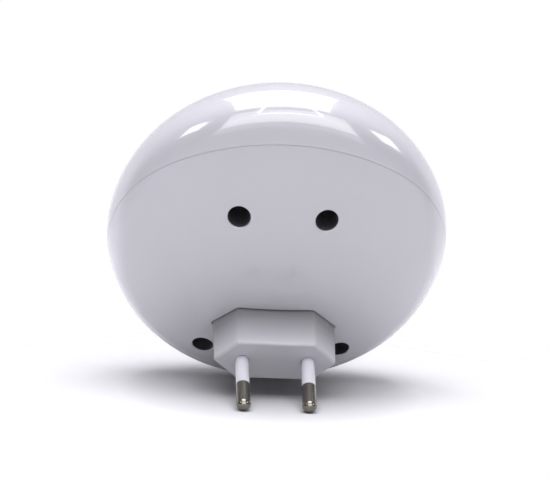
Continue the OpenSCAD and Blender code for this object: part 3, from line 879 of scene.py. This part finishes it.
def ferrite():
    """Dark pressed ferrite."""
    made = Finish("ferrite", (0.035, 0.035, 0.038), 0.62)
    made.vary(1.2, 0.35, 0.2)
    return made.relief(made.noise(0.2, 4.0), 0.03, 0.6)


def wire_jacket(name, colour):
    """A soft wire jacket with faint drawing lines along it."""
    made = Finish(name, colour, 0.45)
    made.vary(1.5, 0.12, 0.2)
    return made.relief(made.noise(0.3, 3.0, (1.0, 0.1, 1.0)), 0.01, 0.5)


def table_paper(fade_from, fade_to):
    """White paper seen from above only. It fades into the white surroundings, and it is greyer
    near the middle, which deepens the contact shadow."""
    made = Finish("table_paper", (0.86, 0.86, 0.87), 0.85)
    made.roughen(12, 0.05)
    made.relief(made.noise(0.8, 3.0), 0.02, 0.3)
    made.set("Specular IOR Level", 0.2)
    distance = made.node("ShaderNodeVectorMath", Vector=made.place)
    distance.operation = "LENGTH"
    away = made.span(distance.outputs["Value"], 0.0, 1.0, 0.01, 0.045)
    made.paint(made.mix(away, (0.38, 0.38, 0.39), made.colour))
    fade = made.span(distance.outputs["Value"], 0.0, 1.0, fade_from, fade_to)
    below = made.node("ShaderNodeNewGeometry").outputs["Backfacing"]
    clear = made.node("ShaderNodeBsdfTransparent")
    blend = made.node("ShaderNodeMixShader")
    made.feed(blend.inputs[0], made.math("MAXIMUM", fade, below))
    made.feed(blend.inputs[1], made.shader.outputs[0])
    made.feed(blend.inputs[2], clear.outputs[0])
    out = made.tree.nodes["Material Output"]
    made.feed(out.inputs["Surface"], blend.outputs[0])
    return made


# ------------------------------------------------------------------ assembly

def dress(target, finish):
    """Gives an object one material."""
    target.data.materials.clear()
    target.data.materials.append(finish.material)


def add_piece(made, name, node, finish, body="case"):
    """Names a new piece, gives it its finish and puts it in place of its CAD node."""
    made.name = name
    dress(made, finish)
    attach(made, body)
    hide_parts(node)
    return made


def build_object():
    """Every new piece, and the finish of every CAD node that stays."""
    gloss = glossy_case()
    plate = satin_plate()
    jacket = sleeve_plastic()
    nickel = nickel_pin()
    clear = clear_lens()
    cover = add_piece(rear_cover(), "rear_cover_moulding", "rear_cover", gloss)
    # The faces inside the screw wells get the painted shade of the wells.
    cover.data.materials.append(painted_well_shade().material)
    for face in cover.data.polygons:
        if in_well(face.center / MM):
            face.material_index = 1
    add_piece(front_shell(), "front_shell_moulding", "front_shell", gloss)
    add_piece(plug_body(), "plug_moulding", "plug_body", satin_plug())
    add_piece(pin(-1, "p"), "pin_metal_left", "pin_left", nickel)
    add_piece(pin(1, "p"), "pin_metal_right", "pin_right", nickel)
    add_piece(sleeve(-1, "s"), "sleeve_left", "pin_sleeve_left", jacket)
    add_piece(sleeve(1, "s"), "sleeve_right", "pin_sleeve_right", jacket)
    add_piece(grille(), "sound_grille", "front_grille", plate)
    add_piece(light_lens(), "light_lens", "indicator_lens", clear)
    add_piece(button(), "button_cap", "mode_button", plate, "mode_button")
    ring = add_piece(gasket(), "foam_ring", "speaker_gasket", foam())
    steel, dark = screw_steel(), dark_moulding()
    kept = {
        "case_screws": steel, "plug_screws": steel, "speaker_screws": steel,
        "board_screws": steel, "speaker_frame": dark, "switch_case": dark,
        "bridge_rectifier": dark, "controller_chip": dark, "driver_transistors": dark,
        "switch_plunger": plate, "indicator_led": clear,
        "circuit_board": board_laminate(),
        "speaker_cone": sheet_metal("cone_foil", (0.70, 0.71, 0.73), 5),
        "piezo_disc": sheet_metal("brass_disc", (0.78, 0.58, 0.24), 3),
        "film_capacitor": dipped_coat("film_coat", (0.72, 0.50, 0.05)),
        "smoothing_capacitor": dipped_coat("shrink_wrap", (0.02, 0.025, 0.06)),
        "varistor": dipped_coat("varistor_coat", (0.03, 0.10, 0.32)),
        "fusible_resistor": dipped_coat("fusible_coat", (0.20, 0.38, 0.28)),
        "axial_resistors": banded_coat("resistor_coat", (0.62, 0.46, 0.26)),
        "inductor_core": ferrite(), "inductor_winding": enamel_wire(),
        "live_lead": wire_jacket("brown_wire", (0.16, 0.06, 0.025)),
        "neutral_lead": wire_jacket("blue_wire", (0.03, 0.08, 0.36)),
        "speaker_leads": wire_jacket("red_wire", (0.45, 0.02, 0.02)),
    }
    for node, finish in kept.items():
        dress(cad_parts[node], finish)


# ------------------------------------------------------------------ stage, light and camera

# The stage leans in the row frame: UP is its upright, NEAR points over it towards the camera
LEAN = math.radians(31.3)
UP = Vector((0, -math.sin(LEAN), math.cos(LEAN)))
NEAR = Vector((0, math.cos(LEAN), math.sin(LEAN)))
LEFT = Vector((1, 0, 0))                     # left as the camera sees it


def stage_point(left, near, up):
    """A point in metres over the stage, from the spot of the floor below the case's centre."""
    middle = Vector((0, EQUATOR_Y * MM, CASE_Z * MM))
    tip = Vector((0, (PIN_LEN - PIN_R) * MM, 0))
    drop = (middle - tip).dot(UP) + PIN_R * MM
    return middle + UP * (up - drop) + NEAR * near + LEFT * left


def add_floor():
    """A round sheet under the object."""
    count, radius = 96, 0.5
    points = []
    for i in range(count):
        a = 2 * math.pi * i / count
        points.append((radius / MM * math.cos(a), radius / MM * math.sin(a), 0))
    made = mesh_object("table", points, [tuple(range(count))])
    spot = stage_point(0, 0, 0)
    made.matrix_world = Matrix.Translation(spot) @ Matrix((
        (1, 0, 0, 0), (0, NEAR.y, UP.y, 0), (0, NEAR.z, UP.z, 0), (0, 0, 0, 1)))
    dress(made, table_paper(0.05, 0.12))


def add_light(name, place, aim, size, watts, colour=(1, 1, 1)):
    """A rectangular light at a stage place that faces another one."""
    data = bpy.data.lights.new(name, "AREA")
    data.shape = "RECTANGLE"
    data.size, data.size_y = size
    data.energy = watts
    data.color = colour
    data.spread = math.pi
    made = bpy.data.objects.new(name, data)
    start, end = stage_point(*place), stage_point(*aim)
    away = (start - end).normalized()
    side = UP.cross(away)
    side = side.normalized() if side.length > 0.01 else LEFT.copy()
    top = away.cross(side)
    turn = Matrix((side, top, away)).transposed()
    made.matrix_world = Matrix.Translation(start) @ turn.to_4x4()
    made.visible_camera = False
    bpy.context.scene.collection.objects.link(made)
    return made


def ramp(tree, source, stops):
    """A grey ramp over a source that runs from -1 to 1, from (position, value) stops."""
    scale = tree.nodes.new("ShaderNodeMapRange")
    scale.inputs["From Min"].default_value = -1.0
    tree.links.new(source, scale.inputs["Value"])
    made = tree.nodes.new("ShaderNodeValToRGB")
    tree.links.new(scale.outputs["Result"], made.inputs[0])
    points = made.color_ramp.elements
    while len(points) < len(stops):
        points.new(0.5)
    for point, (place, value) in zip(points, stops):
        point.position = (place + 1) / 2
        point.color = (value, value, value, 1)
    return made.outputs["Color"]


def add_world():
    """Plain white to the camera. To all other rays it is a little violet, and it is brightest
    behind the stage and from below the table's edge. The strengths were fitted to the look."""
    world = bpy.data.worlds.new("studio")
    world.use_nodes = True
    bpy.context.scene.world = world
    tree = world.node_tree
    place = tree.nodes.new("ShaderNodeTexCoord").outputs["Generated"]
    along = []
    for direction in (UP, NEAR):
        dot = tree.nodes.new("ShaderNodeVectorMath")
        dot.operation = "DOT_PRODUCT"
        dot.inputs[1].default_value = direction
        tree.links.new(place, dot.inputs[0])
        along.append(dot.outputs["Value"])
    behind = ramp(tree, along[0], ((-1.0, 0.95), (-0.5, 0.8), (-0.2, 0.56), (0.1, 0.52),
                                   (0.4, 0.25), (0.75, 0.1), (1.0, 0.03)))
    before = ramp(tree, along[0], ((-1.0, 0.66), (-0.55, 0.5), (-0.2, 0.16), (0.0, 0.02),
                                   (0.5, 0.12), (1.0, 0.34)))
    side = ramp(tree, along[1], ((-0.2, 0.0), (0.2, 1.0)))
    both = tree.nodes.new("ShaderNodeMix")
    both.data_type = "RGBA"
    tree.links.new(side, both.inputs["Factor"])
    tree.links.new(behind, both.inputs[6])
    tree.links.new(before, both.inputs[7])
    tint = tree.nodes.new("ShaderNodeMix")
    tint.data_type = "RGBA"
    tint.blend_type = "MULTIPLY"
    tint.inputs["Factor"].default_value = 1.0
    tint.inputs[7].default_value = (0.96, 0.94, 1.0, 1)
    tree.links.new(both.outputs[2], tint.inputs[6])
    back = tree.nodes["Background"]
    back.inputs["Strength"].default_value = 2.3
    tree.links.new(tint.outputs[2], back.inputs["Color"])
    white = tree.nodes.new("ShaderNodeBackground")
    white.inputs["Strength"].default_value = 1.0
    white.inputs["Color"].default_value = (1, 1, 1, 1)
    path = tree.nodes.new("ShaderNodeLightPath")
    blend = tree.nodes.new("ShaderNodeMixShader")
    tree.links.new(path.outputs["Is Camera Ray"], blend.inputs[0])
    tree.links.new(back.outputs[0], blend.inputs[1])
    tree.links.new(white.outputs[0], blend.inputs[2])
    tree.links.new(blend.outputs[0], tree.nodes["World Output"].inputs["Surface"])


def panel(name, azimuth, elevation, size, watts):
    """A panel 0.7 m from the case, at angles in degrees seen from it. Azimuth runs to the left.
    It shows in reflections only, so it adds no light of its own to matt surfaces."""
    a, e = math.radians(azimuth), math.radians(elevation)
    reach, height = 0.7, 0.06
    place = (reach * math.cos(e) * math.sin(a), reach * math.cos(e) * math.cos(a),
             reach * math.sin(e) + height)
    made = add_light(name, place, (0, 0, height), size, watts)
    made.visible_diffuse = False


def add_lights():
    """Soft boxes above the stage, and panels whose reflections show on the case's rim."""
    pale = (0.97, 0.96, 1.0)
    add_light("top", (0, 0.0, 0.5), (0, 0, 0), (0.4, 0.3), 1.2, pale)
    add_light("near_top", (0, 0.2, 0.46), (0, 0, 0.02), (0.42, 0.3), 1.6, pale)
    panel("band_high", -4, 17, (0.8, 0.46), 2.5)
    panel("band_low", -4, 3, (0.8, 0.5), 1.2)
    panel("bracket_left", 13, 42, (0.025, 0.36), 0.16)
    panel("bracket_right", -22, 42, (0.025, 0.36), 0.16)
    panel("bracket_base", -4, 25, (0.42, 0.022), 0.16)
    panel("streak_left", 50, 22, (0.16, 0.16), 0.42)
    panel("streak_right", -62, 20, (0.2, 0.16), 0.5)


def add_camera():
    """The camera above the plug, looking at the rear cover from a place found by fitting."""
    data = bpy.data.cameras.new("camera")
    data.lens = 72.0
    data.sensor_width = 36.0
    data.sensor_fit = "HORIZONTAL"
    data.clip_start = 0.005
    made = bpy.data.objects.new("camera", data)
    made.location = (0.01987, 0.23247, 0.2063)
    made.rotation_euler = [math.radians(a) for a in (54.728, -3.898, 178.566)]
    bpy.context.scene.collection.objects.link(made)
    bpy.context.scene.camera = made


build_object()
add_floor()
add_world()
add_lights()
add_camera()
bpy.context.scene.view_settings.view_transform = "Standard"
bpy.context.scene.view_settings.look = "None"
